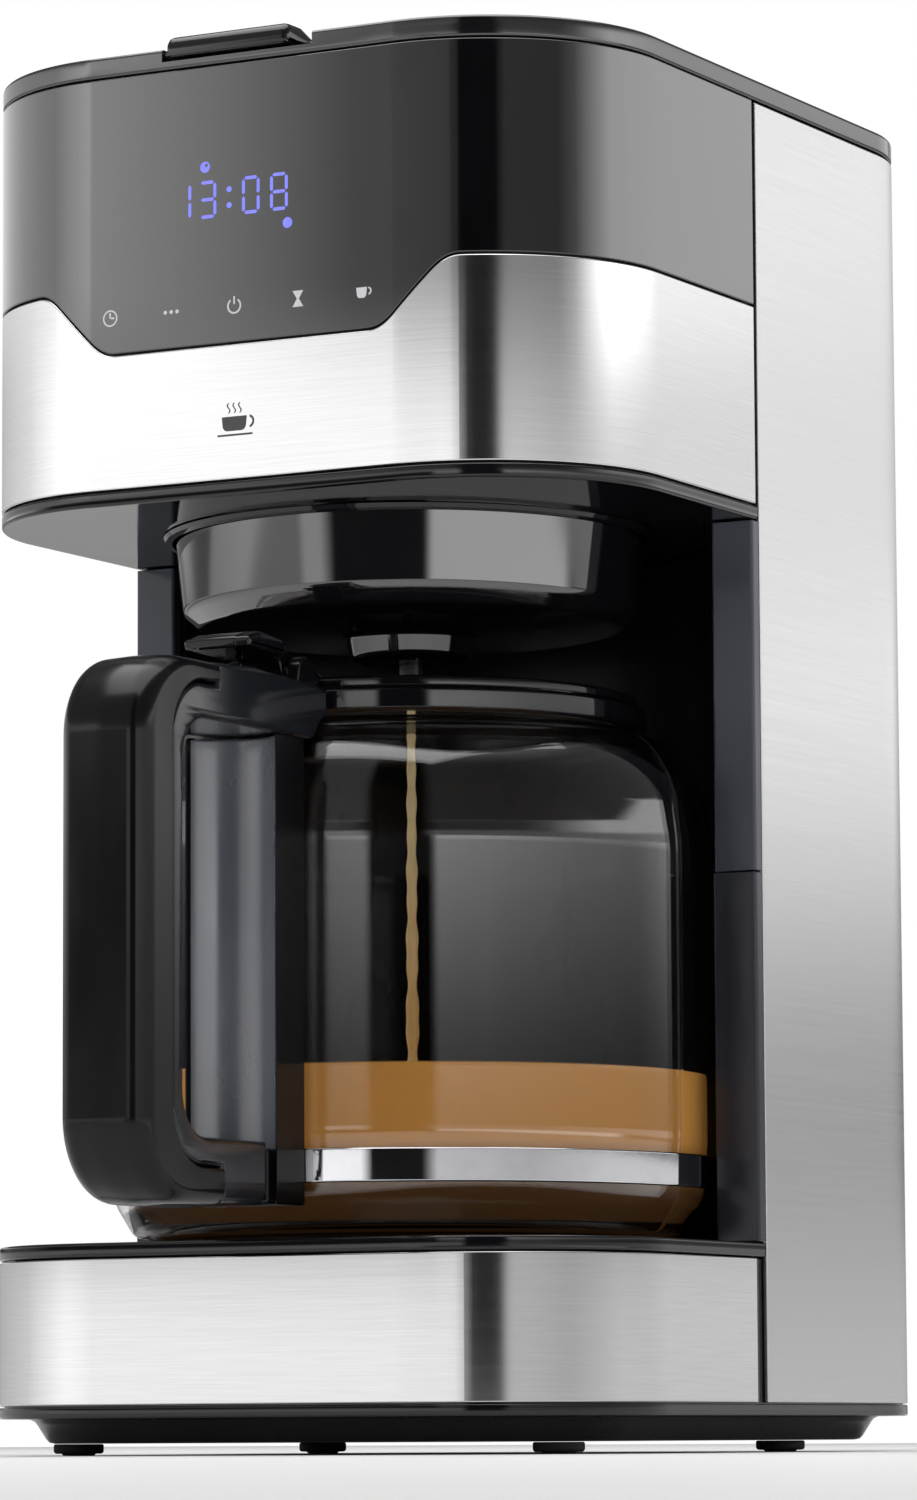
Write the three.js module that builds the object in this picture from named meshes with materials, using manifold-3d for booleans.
// Drip coffee maker: steel-clad body, glass jug on a warming plate, water tank in the rear tower, hinged lid.
// Millimetres, +Z up. Pieces are drawn with the body's front face at y = 0; the exported group then moves
// them back so that the origin is at the bottom centre of the whole appliance, jug handle included.

import * as THREE from 'three';
import { mergeVertices } from 'three/addons/utils/BufferGeometryUtils.js';
import Module from 'manifold-3d';

const wasm = await Module();
wasm.setup();

// Body outline seen from above
const halfWidth = 91;
const depth = 219;
const frontRadius = 48;
const rearRadius = 41;

// Heights
const trayBottom = 3;
const rimBottom = 9.1;
const bandFoot = 12.3;
const deckBottom = 48.3;
const deckTop = 51.9;
const headBottom = 233.9;
const headBandFoot = 237.9;
const bandLow = 271.4;
const bandHigh = 288.4;
const panelTop = 341.7;
const rimTop = 347.5;
const tabTop = 350.4;

// Depths at which the skins of head, base and tower end
const headSkinEnd = 101.8;
const baseBandEnd = 98;
const chassisSplit = 103;
const coverStart = 103.6;
const columnFront = 99.5;

const gap = 0.3;
const facets = 32;
const sheet = 1.0;
const wall = 2.2;

// Jug and what lines up with it
const jugY = 86;
const jugRadius = 77;
const jugBottom = 53.5;
const neckRadius = 56.5;
const glassWall = 2;
const jugReach = 66;
const bayRadius = 80.2;
const handleHalf = 12.25;
const handleHinge = { y: 14, z: 191 };

// Tank, hoses and lid hinge
const tankFront = 171;
const tankTop = 305.4;
const innerDeck = 306.2;
const coldX = -55;
const coldY = 190;
const riserX = 62;
const riserY = 157;
const legX = 50;
const legEnd = 135;
const heaterZ = 42.6;
const lidHinge = { y: 206, z: 344.6 };
const keyXs = [-37.4, -19.7, -1.6, 16.5, 34.7];
const keyZ = 281;

// ---------- helpers ----------

function solid(geometry) {
  const bare = new THREE.BufferGeometry();
  bare.setAttribute('position', geometry.getAttribute('position'));
  if (geometry.index) bare.setIndex(geometry.index);
  const merged = mergeVertices(bare, 1e-3);
  const corners = merged.index.array;
  const triangles = [];
  for (let i = 0; i < corners.length; i += 3) {
    const [a, b, c] = [corners[i], corners[i + 1], corners[i + 2]];
    if (a !== b && b !== c && c !== a) triangles.push(a, b, c);
  }
  const made = new wasm.Manifold(new wasm.Mesh({
    numProp: 3,
    vertProperties: new Float32Array(merged.getAttribute('position').array),
    triVerts: new Uint32Array(triangles),
  }));
  if (made.volume() <= 0) throw new Error('a profile runs the wrong way round');
  return made;
}

function geometryOf(made) {
  const mesh = made.getMesh();
  const geometry = new THREE.BufferGeometry();
  geometry.setAttribute('position', new THREE.BufferAttribute(new Float32Array(mesh.vertProperties), 3));
  geometry.setIndex(new THREE.BufferAttribute(new Uint32Array(mesh.triVerts), 1));
  const flat = geometry.toNonIndexed();
  flat.computeVertexNormals();
  return flat;
}

function join(first, ...rest) {
  return rest.reduce((whole, piece) => whole.add(piece), first);
}

function cut(first, ...rest) {
  return rest.reduce((whole, piece) => whole.subtract(piece), first);
}

// A shape drawn in x, y and raised between two heights.
function slab(shape, low, high, curveSegments = 5) {
  const geometry = new THREE.ExtrudeGeometry(shape, { depth: high - low, bevelEnabled: false, curveSegments });
  return solid(geometry.translate(0, 0, low));
}

// A shape drawn in y, z and thickened to both sides of x = middle.
function sideways(shape, half, middle = 0, curveSegments = 5) {
  const geometry = new THREE.ExtrudeGeometry(shape, { depth: 2 * half, bevelEnabled: false, curveSegments });
  geometry.translate(0, 0, middle - half);
  const turn = new THREE.Matrix4().makeBasis(
    new THREE.Vector3(0, 1, 0), new THREE.Vector3(0, 0, 1), new THREE.Vector3(1, 0, 0));
  return solid(geometry.applyMatrix4(turn));
}

// A shape drawn in x, z and pushed from y = front to y = back.
function frontal(shape, front, back, curveSegments = 6) {
  const geometry = new THREE.ExtrudeGeometry(shape, { depth: back - front, bevelEnabled: false, curveSegments });
  geometry.rotateX(Math.PI / 2);
  return solid(geometry.translate(0, back, 0));
}

function brick(x0, x1, y0, y1, z0, z1) {
  const geometry = new THREE.BoxGeometry(x1 - x0, y1 - y0, z1 - z0);
  return solid(geometry.translate((x0 + x1) / 2, (y0 + y1) / 2, (z0 + z1) / 2));
}

// A profile of [radius, height] pairs, listed from the bottom up on its outer side, turned about a vertical axis.
function turned(profile, x = 0, y = 0, segments = facets) {
  const points = profile.map(([r, z]) => new THREE.Vector2(r, z));
  const geometry = new THREE.LatheGeometry(points, segments);
  return solid(geometry.rotateX(Math.PI / 2).translate(x, y, 0));
}

function disc(radius, low, high, x = 0, y = 0, segments = 16) {
  return turned([[0, low], [radius, low], [radius, high], [0, high]], x, y, segments);
}

function ring(inner, outer, low, high, x = 0, y = 0, segments = facets) {
  const profile = [[inner, low], [outer, low], [outer, high], [inner, high], [inner, low]];
  return turned(profile, x, y, segments);
}

// A round bar between two points.
function bar(from, to, radius, segments = 12) {
  const [a, b] = [new THREE.Vector3(...from), new THREE.Vector3(...to)];
  const geometry = new THREE.CylinderGeometry(radius, radius, a.distanceTo(b), segments);
  const along = b.clone().sub(a).normalize();
  geometry.applyQuaternion(new THREE.Quaternion().setFromUnitVectors(new THREE.Vector3(0, 1, 0), along));
  const middle = a.add(b).multiplyScalar(0.5);
  return solid(geometry.translate(middle.x, middle.y, middle.z));
}

function tube(curve, radius, steps, sides = 4) {
  const section = new THREE.Shape().absarc(0, 0, radius, 0, 2 * Math.PI);
  const options = { steps, curveSegments: sides, extrudePath: curve, bevelEnabled: false };
  return solid(new THREE.ExtrudeGeometry(section, options));
}

function through(points) {
  return new THREE.CatmullRomCurve3(points.map((p) => new THREE.Vector3(...p)), false, 'centripetal');
}

// The body's outline, drawn in by inset all round.
function outline(inset) {
  const [w, front, back] = [halfWidth - inset, inset, depth - inset];
  const [f, r] = [frontRadius - inset, rearRadius - inset];
  const shape = new THREE.Shape();
  shape.moveTo(-w + f, front);
  shape.absarc(w - f, front + f, f, -Math.PI / 2, 0, false);
  shape.absarc(w - r, back - r, r, 0, Math.PI / 2, false);
  shape.absarc(-w + r, back - r, r, Math.PI / 2, Math.PI, false);
  shape.absarc(-w + f, front + f, f, Math.PI, 1.5 * Math.PI, false);
  return shape;
}

function bodySlab(inset, low, high) {
  return slab(outline(inset), low, high);
}

// An upright skin that follows the outline, from one inset to the next, kept between two depths.
function bodyShell(inset, thickness, low, high, from, to) {
  const shell = cut(bodySlab(inset, low, high), bodySlab(inset + thickness, low - 1, high + 1));
  return shell.intersect(brick(-halfWidth - 1, halfWidth + 1, from, to, low - 1, high + 1));
}

function keep(piece, from, to) {
  return piece.intersect(brick(-halfWidth - 1, halfWidth + 1, from, to, -1, tabTop + 10));
}

// ---------- base ----------

function baseHousing() {
  const rim = bodySlab(0, rimBottom, 12);
  const upper = bodySlab(sheet + gap, 11.9, deckBottom - gap);
  const hollow = bodySlab(sheet + gap + 2.5, rimBottom - 1, deckBottom);
  const cordHole = bar([30, depth - 8, 27], [30, depth + 4, 27], 6.4);
  return cut(join(rim, upper), hollow, cordHole);
}

function baseDeck() {
  const front = keep(bodySlab(0, deckBottom, deckTop), -1, chassisSplit - gap);
  const rear = keep(bodySlab(1.6, deckBottom, deckTop), chassisSplit - 2, depth);
  const plateHole = disc(68.3, deckBottom - 1, deckTop + 1, 0, jugY, facets);
  const coldHole = disc(6.5, deckBottom - 1, deckTop + 1, coldX, coldY);
  const riserHole = disc(6.5, deckBottom - 1, deckTop + 1, riserX, riserY);
  return cut(join(front, rear), plateHole, coldHole, riserHole);
}

function hotPlate() {
  const top = jugBottom - gap;
  return turned([
    [0, 50.5], [43, 50.5], [43, 48.4], [57, 48.4], [57, 49.3], [68, 49.3], [68, 51.6], [66, top], [0, top],
  ], 0, jugY);
}

function heaterTube() {
  const points = [[-legX, legEnd, heaterZ], [-legX, 115, heaterZ]];
  for (let step = 0; step <= 8; step += 1) {
    const angle = Math.PI + (step / 8) * Math.PI;
    points.push([legX * Math.cos(angle), jugY + legX * Math.sin(angle), heaterZ]);
  }
  points.push([legX, 115, heaterZ], [legX, legEnd, heaterZ]);
  return tube(through(points), 5.4, 24);
}

function underTray() {
  const body = join(
    bodySlab(12, trayBottom, 5.6),
    bodySlab(9.5, 5.5, 8.8),
    bodySlab(4.2, 8.7, 11.6));
  const pocket = bodySlab(14, 5.6, 12);
  const posts = screwYs.map((y) => disc(6, 5, 11.6, 0, y));
  const heads = screwYs.map((y) => disc(3.9, 2, 5.5, 0, y));
  const shanks = screwYs.map((y) => disc(1.9, 5, 12, 0, y, 12));
  const stems = footPlaces.map(([, x, y]) => disc(3, 2, 7, x, y));
  return cut(join(cut(body, pocket), ...posts), ...heads, ...shanks, ...stems);
}

const screwYs = [26, 190];
const footPlaces = [
  ['front_left', -68, 35], ['front_right', 68, 35],
  ['rear_left', -68, 158], ['rear_right', 68, 158],
];

function foot(x, y) {
  return turned([[0, 0], [5.6, 0], [6.3, 0.8], [6.3, 2.7], [2.7, 2.7], [2.7, 6.2], [0, 6.2]], x, y, 16);
}

function trayScrew(y) {
  return turned([[0, 3.4], [3.5, 3.4], [3.5, 5.2], [1.6, 5.2], [1.6, 10.8], [0, 10.8]], 0, y, 16);
}

function cordGland() {
  const inner = bar([30, depth - 8, 27], [30, depth - 4.2, 27], 8.4);
  const outer = bar([30, depth - 4.3, 27], [30, depth, 27], 6);
  return cut(join(inner, outer), bar([30, depth - 9, 27], [30, depth + 1, 27], 3.2));
}

// ---------- tower ----------

function rearCover() {
  const skin = bodyShell(0, 1.2, bandFoot, panelTop - gap, coverStart, depth + 1);
  return cut(skin, bar([30, depth - 8, 27], [30, depth + 4, 27], 6.4));
}

function towerHousing() {
  return bodyShell(1.6, wall, deckTop + gap, panelTop - gap, coverStart, depth + 1);
}

function bayLiner() {
  const curve = ring(bayRadius, bayRadius + wall, deckTop + gap, headBottom - gap, 0, jugY, facets);
  return keep(curve, coverStart, depth);
}

// A strip that closes the front of the tower on one side; low and high are its ends.
function columnTrim(side, low, high, inner) {
  const shape = new THREE.Shape();
  shape.moveTo(side * inner, columnFront + 0.8);
  shape.lineTo(side * (inner + 0.8), columnFront);
  shape.lineTo(side * (halfWidth - 1), columnFront);
  shape.lineTo(side * (halfWidth - 0.1), columnFront + 0.9);
  shape.lineTo(side * (halfWidth - 0.1), chassisSplit + gap);
  shape.lineTo(side * inner, chassisSplit + gap);
  return slab(shape, low, high);
}

function waterTank() {
  const outer = keep(bodySlab(4.3, 70, tankTop), tankFront, depth);
  const inner = keep(bodySlab(6.3, 72, tankTop + 1), tankFront + 2, depth);
  const nozzle = disc(6, 64.8, 70.1, coldX, coldY);
  const bore = disc(3.5, 60, 73, coldX, coldY);
  return cut(join(cut(outer, inner), nozzle), bore);
}

function checkValveBody() {
  const profile = [
    [2.2, 53], [8, 53], [8, 69.5], [6.3, 69.5], [6.3, 64.5], [5, 64.5], [5, 55.5], [2.2, 55.5], [2.2, 53],
  ];
  return turned(profile, coldX, coldY, 16);
}

function checkBall() {
  return solid(new THREE.SphereGeometry(3.6, 12, 8).rotateX(Math.PI / 2).translate(coldX, coldY, 58.6));
}

function coldHose() {
  return tube(through([
    [coldX, coldY, 52.6], [coldX, coldY, 47], [coldX, 182, 40], [-54, 165, 40], [-51, 150, heaterZ - 1],
    [-legX, legEnd + 5, heaterZ], [-legX, legEnd + 0.5, heaterZ],
  ]), 4.6, 18);
}

function riserHose() {
  return tube(through([
    [legX, legEnd + 0.5, heaterZ], [legX, legEnd + 4, heaterZ], [55, 147, 37], [60, 154, 36.5],
    [riserX, riserY, 43], [riserX, riserY, 56], [riserX, riserY, 80], [riserX, riserY, 180],
    [riserX, riserY, 311.5],
  ]), 4.6, 22);
}

// ---------- head ----------

// Everything below the stepped top edge of the steel band: low in the middle, up a 45 degree ramp on each
// side to the shoulders. lift moves the edge upwards.
function bandRegion(lift) {
  const [low, high, rampFoot, round] = [bandLow + lift, bandHigh + lift, 39.6, 4];
  const rampTop = rampFoot + (high - low);
  const soft = round * Math.SQRT1_2;
  const edge = new THREE.Shape();
  edge.moveTo(-100, 200);
  edge.lineTo(100, 200);
  edge.lineTo(100, high);
  edge.lineTo(rampTop + round, high);
  edge.quadraticCurveTo(rampTop, high, rampTop - soft, high - soft);
  edge.lineTo(rampFoot + soft, low + soft);
  edge.quadraticCurveTo(rampFoot, low, rampFoot - round, low);
  edge.lineTo(-rampFoot + round, low);
  edge.quadraticCurveTo(-rampFoot, low, -rampFoot - soft, low + soft);
  edge.lineTo(-rampTop + soft, high - soft);
  edge.quadraticCurveTo(-rampTop, high, -rampTop - round, high);
  edge.lineTo(-100, high);
  return edge;
}

function headSteelBand() {
  const skin = bodyShell(0, sheet, headBandFoot, bandHigh + 1, -1, headSkinEnd);
  return skin.intersect(frontal(bandRegion(0), -2, depth));
}

function displayPanel() {
  const skin = bodyShell(0, 1.6, bandLow, panelTop, -1, headSkinEnd);
  return cut(skin, frontal(bandRegion(0.5), -2, depth));
}

function headFrame() {
  const shell = bodyShell(2, 2.5, headBandFoot, panelTop - gap, -1, chassisSplit);
  const window = brick(-24, 24, -1, 6, 299, 318);
  const keyHoles = keyXs.map((x) => bar([x, 0, keyZ], [x, 8, keyZ], 5.6));
  return cut(shell, window, ...keyHoles);
}

function headFloor() {
  const front = keep(bodySlab(0, headBottom, headBandFoot - gap), -1, chassisSplit - gap);
  const ceiling = keep(disc(84, headBottom, headBandFoot - gap, 0, jugY, facets), chassisSplit - 2, depth);
  return cut(join(front, ceiling), disc(61.7, headBottom - 1, headBandFoot, 0, jugY, facets));
}

function controlBoard() {
  return brick(-52, 52, 8, 9.6, 262, 332);
}

function ledDisplay() {
  return brick(-22, 22, 2, 7.7, 300, 317);
}

function touchPad(x) {
  return bar([x, 2, keyZ], [x, 7.7, keyZ], 5);
}

// ---------- filter ----------

function filterFunnel() {
  const outer = [
    [5, 200.8], [12, 200.8], [16, 202.2], [17, 208], [50, 211.2], [55, 213.2], [56.8, 217],
    [61, headBandFoot], [66.2, 302.5], [70, 302.5], [70, 305.6],
  ];
  const inner = [
    [64, 305.6], [58.8, headBandFoot], [54.6, 217], [52, 214.6], [16, 210.6], [13, 209], [13, 204], [5, 204],
  ];
  return turned([...outer, ...inner, [5, 200.8]], 0, jugY);
}

function filterBasket() {
  const outer = [[10, 222], [53, 222], [55.5, 226], [62.6, 303.5]];
  const inner = [[61.1, 303.5], [54, 227], [52, 223.6], [10, 223.6]];
  const cup = turned([...outer, ...inner, [10, 222]], 0, jugY);
  const grip = brick(-9, 9, jugY - 61.5, jugY - 52, 296, 299);
  return join(cup, grip);
}

function dripValve() {
  return turned([
    [0, 197.5], [2.4, 197.5], [3, 198.3], [3, 206.2], [8, 206.2], [8, 208.2], [2.2, 208.2], [2.2, 217], [0, 217],
  ], 0, jugY, 16);
}

function valveSeal() {
  return ring(3.3, 8, 204.3, 205.9, 0, jugY, 16);
}

function valveRetainer() {
  const cup = turned([
    [10.8, 204.3], [12.6, 204.3], [12.6, 217.6], [2.8, 217.6], [2.8, 215.8], [10.8, 215.8], [10.8, 204.3],
  ], 0, jugY, 24);
  const windows = [0, 60, 120].map((turn) => brick(-20, 20, -3.4, 3.4, 206.5, 214)
    .rotate([0, 0, turn]).translate([0, jugY, 0]));
  return cut(cup, ...windows);
}

class Coil extends THREE.Curve {
  constructor(radius, low, high, turns) {
    super();
    Object.assign(this, { radius, low, high, turns });
  }

  getPoint(t, target = new THREE.Vector3()) {
    const angle = 2 * Math.PI * this.turns * t;
    const height = this.low + (this.high - this.low) * t;
    return target.set(this.radius * Math.cos(angle), jugY + this.radius * Math.sin(angle), height);
  }
}

function valveSpring() {
  return tube(new Coil(4.5, 209.1, 215, 3), 0.45, 30, 2);
}

// A flat duct from the riser to the shower disc above the basket.
function sprayArm() {
  const [dx, dy] = [riserX, riserY - jugY];
  const reach = Math.hypot(dx, dy);
  const [nx, ny] = [(-dy / reach) * 8, (dx / reach) * 8];
  const plan = new THREE.Shape();
  plan.moveTo(riserX + nx, riserY + ny);
  plan.lineTo(nx, jugY + ny);
  plan.lineTo(-nx, jugY - ny);
  plan.lineTo(riserX - nx, riserY - ny);
  const duct = slab(plan, 312, 320);
  const shower = turned([[0, 310], [20, 310], [22, 312], [22, 318], [18, 320], [0, 320]], 0, jugY, facets);
  return join(duct, shower, disc(8, 312, 320, riserX, riserY));
}

function deckInside() {
  const plate = bodySlab(4.8, innerDeck, innerDeck + 2.5);
  const basketHole = disc(64.8, innerDeck - 1, innerDeck + 4, 0, jugY, facets);
  const fillHole = keep(bodySlab(12, innerDeck - 1, innerDeck + 4), tankFront + 5, depth);
  const riserHole = disc(6, innerDeck - 1, innerDeck + 4, riserX, riserY);
  return cut(plate, basketHole, fillHole, riserHole, brick(-54, 54, 4, 11, innerDeck - 1, innerDeck + 4));
}

// ---------- top ----------

function topRim() {
  const body = join(bodySlab(0, panelTop + gap, rimTop - 1), bodySlab(0.9, rimTop - 1.1, rimTop));
  const opening = cut(bodySlab(8, panelTop, rimTop + 1), hingeCorner(-1, 62, 200.4), hingeCorner(1, 62, 200.4));
  const notch = brick(-22.4, 20.6, -1, 12, panelTop + 2.2, rimTop + 1);
  return cut(body, opening, notch, lidPinBore(-1), lidPinBore(1));
}

// The block of the rim that carries one hinge pin. The lid is cut back around it, so that it can swing up.
function hingeCorner(side, inner, front) {
  const [x0, x1] = side > 0 ? [inner, 90] : [-90, -inner];
  return brick(x0, x1, front, 216, panelTop - 1, rimTop + 2);
}

function lidPinBore(side) {
  return bar([side * 50, lidHinge.y, lidHinge.z], [side * 74.5, lidHinge.y, lidHinge.z], 1.5, 12);
}

function lidPin(side) {
  return bar([side * 50.3, lidHinge.y, lidHinge.z], [side * 74, lidHinge.y, lidHinge.z], 1.2, 12);
}

function lid() {
  const plate = bodySlab(8.6, panelTop + 0.9, rimTop - 0.9);
  const crown = bodySlab(10, rimTop - 1, rimTop - 0.3);
  const profile = new THREE.Shape();
  profile.moveTo(-1.4, 345);
  profile.lineTo(22, 344.4);
  profile.lineTo(22, 346.8);
  profile.quadraticCurveTo(12, tabTop - 0.4, 4, tabTop);
  profile.quadraticCurveTo(-1.4, tabTop, -1.4, 345);
  const tab = sideways(profile, 17.4, -3.4);
  const corners = [-1, 1].map((side) => hingeCorner(side, 61.3, 199.6));
  return cut(join(plate, crown, tab), ...corners, lidPinBore(-1), lidPinBore(1));
}

// ---------- jug ----------

// Outer line of the glass, from the middle of its foot up to the neck, moved out by more.
function glassLine(more) {
  return [
    [0, jugBottom - more], [66 + more, jugBottom - more], [70.5 + more, 56.2 - more], [74 + more, 60.5],
    [76.3 + more, 66], [jugRadius + more, 74], [jugRadius + more, 151], [76.5 + more, 159],
    [74.5 + more, 167], [71 + more, 173.4], [66 + more, 178], [60 + more, 181 + more],
    [57.4 + more, 182.2 + more], [neckRadius + more, 183.4],
  ];
}

function jugGlass() {
  const outer = glassLine(0);
  const inner = glassLine(-glassWall).reverse();
  return turned([...outer, [neckRadius, 188], [neckRadius - glassWall, 188], ...inner], 0, jugY, facets);
}

function glassRoom() {
  return turned([...glassLine(0.5), [neckRadius + 0.5, 200], [0, 200]], 0, jugY, facets);
}

function jugBand() {
  return ring(jugRadius + gap, 78.1, 65.5, 74, 0, jugY, facets);
}

function jugCollar() {
  const profile = [[57, 184.2], [60.3, 184.2], [60.3, 187.4], [59.3, 188.5], [57, 188.5], [57, 184.2]];
  return turned(profile, 0, jugY, facets);
}

function jugLid() {
  const plate = turned([
    [3, 186], [44, 186], [46, 188.8], [50, 188.8], [50, 181.5], [53.4, 181.5], [53.4, 188.8], [58.5, 188.8],
    [58.5, 190.6], [57.5, 191.5], [48, 191.5], [44, 188.4], [9, 188.4], [8, 190.2], [3, 190.2], [3, 186],
  ], 0, jugY, facets);
  const lever = new THREE.Shape();
  lever.moveTo(31, 189);
  lever.lineTo(31, 192.5);
  lever.lineTo(17, 195);
  lever.quadraticCurveTo(10, 198.6, -1, 199);
  lever.quadraticCurveTo(-10, 198.8, -12, 196.4);
  lever.lineTo(-11, 194.2);
  lever.lineTo(9, 193.6);
  lever.lineTo(10.5, 189);
  const tongue = cut(sideways(lever, 6), bar([-8, handleHinge.y, handleHinge.z],
    [8, handleHinge.y, handleHinge.z], 1.8, 12));
  const wings = sideways(lever, 9.5).intersect(brick(-10, 10, -13, 7, 190, 200));
  return join(plate, tongue, wings);
}

function jugLidPin() {
  return bar([-9.6, handleHinge.y, handleHinge.z], [9.6, handleHinge.y, handleHinge.z], 1.5, 12);
}

// ---------- jug handle ----------

const handle = {
  front: -66, top: 189, bottom: 58.5, corner: 20,
  grooveFront: -51, grooveTop: 183.5, grooveBottom: 67.7, grooveCorner: 15,
  openFront: -45, openBack: -6.3, openTop: 174.5, openBottom: 75, openCorner: 11,
};

// A C open to the rear in y, z: from (end, top) round the front to (end, bottom).
function roundTheFront(path, front, top, bottom, corner) {
  path.lineTo(front + corner, top);
  path.absarc(front + corner, top - corner, corner, Math.PI / 2, Math.PI, false);
  path.absarc(front + corner, bottom + corner, corner, Math.PI, 1.5 * Math.PI, false);
}

function handleCover() {
  const side = new THREE.Shape();
  side.moveTo(-30, handle.top);
  roundTheFront(side, handle.front, handle.top, handle.bottom, handle.corner);
  side.lineTo(-28, handle.bottom);
  side.lineTo(-28, handle.grooveBottom);
  side.absarc(handle.grooveFront + handle.grooveCorner, handle.grooveBottom + handle.grooveCorner,
    handle.grooveCorner, 1.5 * Math.PI, Math.PI, true);
  side.absarc(handle.grooveFront + handle.grooveCorner, handle.grooveTop - handle.grooveCorner,
    handle.grooveCorner, Math.PI, Math.PI / 2, true);
  side.lineTo(-30, handle.grooveTop);
  return sideways(side, handleHalf).intersect(crownedWidth());
}

// Plan of the grip with its crowned front face.
function crownedWidth() {
  const plan = new THREE.Shape();
  plan.moveTo(-handleHalf, 0);
  plan.lineTo(-handleHalf, handle.front + 3);
  plan.quadraticCurveTo(-handleHalf, handle.front + 0.6, -handleHalf + 3, handle.front + 0.4);
  plan.quadraticCurveTo(0, handle.front - 0.4, handleHalf - 3, handle.front + 0.4);
  plan.quadraticCurveTo(handleHalf, handle.front + 0.6, handleHalf, handle.front + 3);
  plan.lineTo(handleHalf, 0);
  return slab(plan, 50, 200);
}

function handleFrame() {
  const side = new THREE.Shape();
  const [front, top, bottom] = [handle.grooveFront + gap, handle.grooveTop - gap, handle.grooveBottom + gap];
  side.moveTo(-29.7, top);
  roundTheFront(side, front, top, bottom, handle.grooveCorner);
  side.lineTo(-27.7, bottom);
  side.lineTo(-27.7, 59.5);
  side.lineTo(handle.openBack, 59.5);
  side.lineTo(handle.openBack, handle.openBottom);
  side.absarc(handle.openFront + handle.openCorner, handle.openBottom + handle.openCorner,
    handle.openCorner, 1.5 * Math.PI, Math.PI, true);
  side.absarc(handle.openFront + handle.openCorner, handle.openTop - handle.openCorner,
    handle.openCorner, Math.PI, Math.PI / 2, true);
  side.lineTo(24, handle.openTop);
  side.lineTo(24, 187.5);
  side.lineTo(16, 188.4);
  side.lineTo(-12, 189.6);
  side.lineTo(-29.7, 188.8);
  const hinge = new THREE.Shape();
  hinge.moveTo(9.5, 187);
  hinge.lineTo(18.5, 187);
  hinge.lineTo(17.5, 192);
  hinge.quadraticCurveTo(14, 195.4, 10.5, 192);
  const ears = [-1, 1].map((hand) => sideways(hinge, 1.7, hand * 9));
  const slot = brick(-6.5, 6.5, 8, 26, 188.3, 196);
  const pinBore = bar([-9.9, handleHinge.y, handleHinge.z], [9.9, handleHinge.y, handleHinge.z], 1.8, 12);
  const body = sideways(side, handleHalf - 1).intersect(brick(-20, 20, -60, 30, 50, 200));
  const collarRoom = disc(60.8, 183.8, 189, 0, jugY, facets);
  const lidRoom = disc(59, 188.2, 200, 0, jugY, facets);
  return cut(join(cut(body, slot), ...ears), pinBore, glassRoom(), collarRoom, lidRoom);
}

function handleBracket() {
  const plan = new THREE.Shape();
  const [edge, back] = [handleHalf + 0.6, 20];
  plan.moveTo(-edge, back);
  plan.lineTo(-edge, -3.5);
  plan.quadraticCurveTo(-edge + 0.4, -6, -edge + 3.4, -5.6);
  plan.quadraticCurveTo(-edge + 4, 3.2, 0, 3.6);
  plan.quadraticCurveTo(edge - 4, 3.2, edge - 3.4, -5.6);
  plan.quadraticCurveTo(edge - 0.4, -6, edge, -3.5);
  plan.lineTo(edge, back);
  const body = slab(plan, 60, handle.openTop - gap);
  const footing = brick(-handleHalf + 1.5, handleHalf - 1.5, -6, 12, 60, 73);
  const room = disc(78.5, 50, 200, 0, jugY, facets);
  const screwBore = bar([0, -7, 69.7], [0, 12, 69.7], 1.9, 12);
  const headBore = bar([0, -7, 69.7], [0, -2.5, 69.7], 4, 16);
  return cut(join(body, footing), room, screwBore, headBore);
}

function handleScrew() {
  return join(bar([0, -5.6, 69.7], [0, -2.9, 69.7], 3.6, 16), bar([0, -3, 69.7], [0, 7, 69.7], 1.6, 12));
}

// ---------- assembly ----------

function material(color, roughness, metalness = 0) {
  return new THREE.MeshStandardMaterial({ color, roughness, metalness });
}

const brushedSteel = material(0xd6d6d8, 0.28, 1);
const chrome = material(0xe8e8ec, 0.08, 1);
const aluminium = material(0xb9bbbe, 0.35, 1);
const glossBlack = material(0x0b0b0d, 0.08);
const panelBlack = material(0x050506, 0.04);
const columnGrey = material(0x3a3e48, 0.3);
const rubber = material(0x121212, 0.8);
const silicone = material(0xcfd2d4, 0.5);
const tankGrey = material(0x2a2c30, 0.25);
const plateCoating = material(0x1b1b1c, 0.45);
const board = material(0x1d4a2c, 0.5);
const lightPanel = material(0x8c8cfa, 0.4);
const brass = material(0xc9a24a, 0.3, 1);
const glass = material(0xeef3f4, 0.02);
glass.transparent = true;
glass.opacity = 0.3;

const machine = new THREE.Group();
machine.position.y = -(depth - jugReach) / 2;

function place(name, made, finish) {
  const mesh = new THREE.Mesh(geometryOf(made), finish);
  mesh.name = name;
  machine.add(mesh);
}

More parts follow.
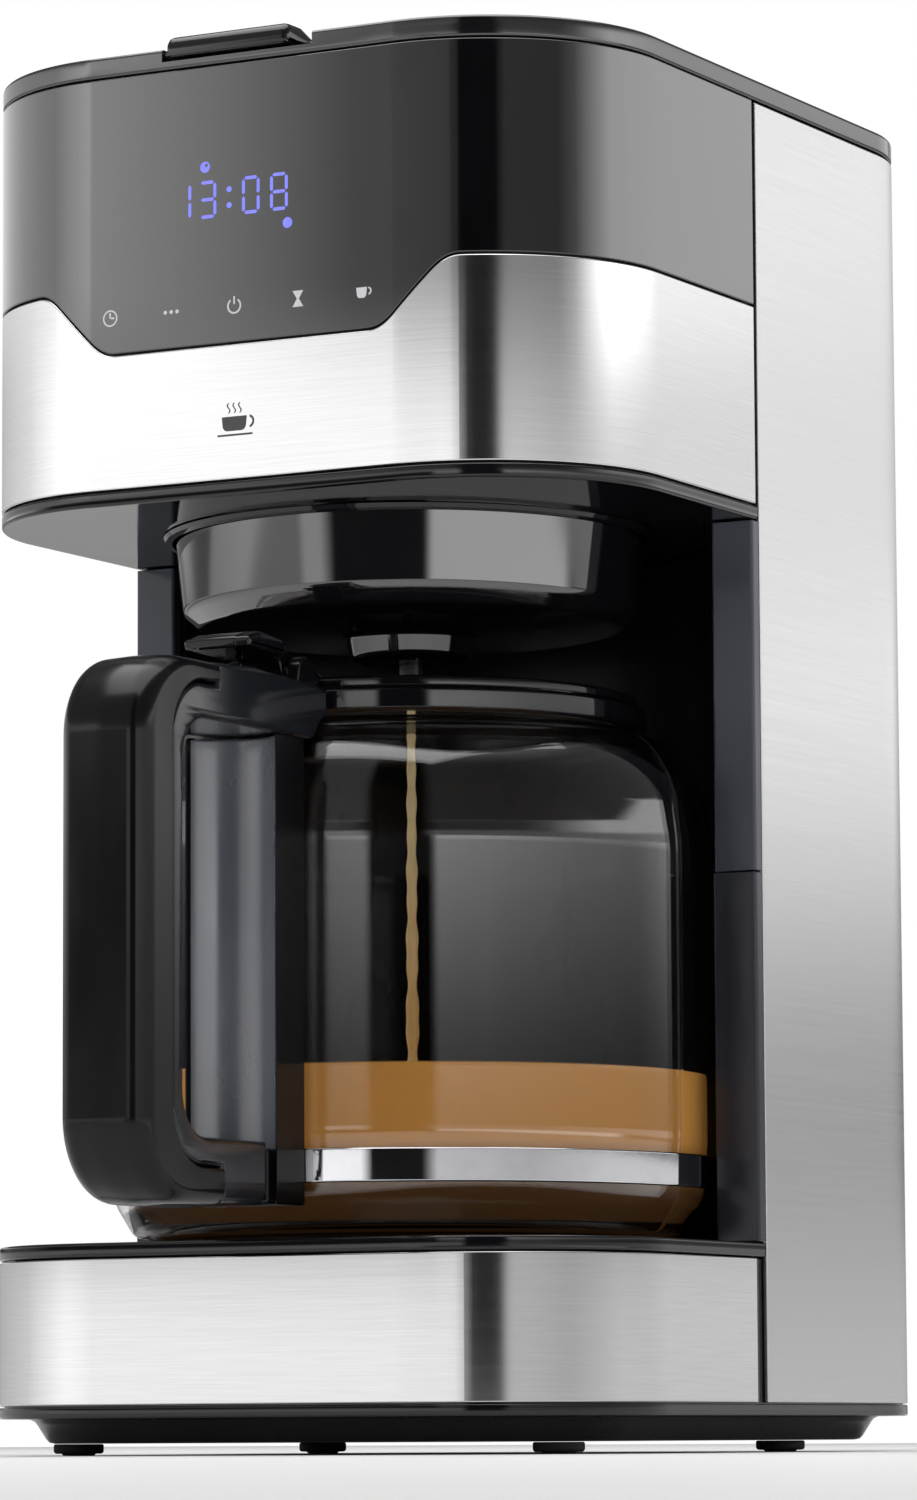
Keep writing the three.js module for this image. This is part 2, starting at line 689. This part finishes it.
place('base_housing', baseHousing(), glossBlack);
place('base_steel_band', bodyShell(0, sheet, bandFoot, deckBottom - gap, -1, baseBandEnd), brushedSteel);
place('base_deck', baseDeck(), glossBlack);
place('hot_plate', hotPlate(), plateCoating);
place('heater_tube', heaterTube(), aluminium);
place('thermostat', disc(9, 41, 50.2, 0, jugY), aluminium);
place('thermal_fuse', bar([-12, 62, 46.8], [12, 62, 46.8], 2.6, 12), aluminium);
place('under_tray', underTray(), glossBlack);
footPlaces.forEach(([where, x, y]) => place(`foot_${where}`, foot(x, y), rubber));
screwYs.forEach((y, i) => place(`tray_screw_${['front', 'rear'][i]}`, trayScrew(y), aluminium));
place('cord_gland', cordGland(), rubber);

place('rear_cover', rearCover(), brushedSteel);
place('tower_housing', towerHousing(), glossBlack);
place('bay_liner', bayLiner(), glossBlack);
[['left', -1], ['right', 1]].forEach(([hand, side]) => {
  place(`column_trim_lower_${hand}`, columnTrim(side, deckTop + gap, 144.6, 78.9), columnGrey);
  place(`column_trim_upper_${hand}`, columnTrim(side, 145, headBottom - gap, 79.3), columnGrey);
});
place('water_tank', waterTank(), tankGrey);
place('check_valve_body', checkValveBody(), silicone);
place('check_ball', checkBall(), brass);
place('cold_hose', coldHose(), silicone);
place('riser_hose', riserHose(), silicone);

place('head_frame', headFrame(), glossBlack);
place('head_floor', headFloor(), glossBlack);
place('head_steel_band', headSteelBand(), brushedSteel);
place('display_panel', displayPanel(), panelBlack);
place('control_board', controlBoard(), board);
place('led_display', ledDisplay(), lightPanel);
keyXs.forEach((x, i) => place(`touch_pad_${i + 1}`, touchPad(x), silicone));

place('filter_funnel', filterFunnel(), glossBlack);
place('filter_basket', filterBasket(), glossBlack);
place('drip_valve', dripValve(), glossBlack);
place('valve_seal', valveSeal(), silicone);
place('valve_retainer', valveRetainer(), glossBlack);
place('valve_spring', valveSpring(), chrome);
place('spray_arm', sprayArm(), glossBlack);
place('inner_deck', deckInside(), glossBlack);

place('top_rim', topRim(), glossBlack);
place('lid', lid(), glossBlack);
place('lid_pin_left', lidPin(-1), aluminium);
place('lid_pin_right', lidPin(1), aluminium);

place('jug_glass', jugGlass(), glass);
place('jug_band', jugBand(), chrome);
place('jug_collar', jugCollar(), glossBlack);
place('jug_lid', jugLid(), glossBlack);
place('jug_lid_pin', jugLidPin(), chrome);
place('handle_cover', handleCover(), glossBlack);
place('handle_frame', handleFrame(), glossBlack);
place('handle_bracket', handleBracket(), glossBlack);
place('handle_screw', handleScrew(), aluminium);

const object = new THREE.Group();
object.add(machine);

export default object;
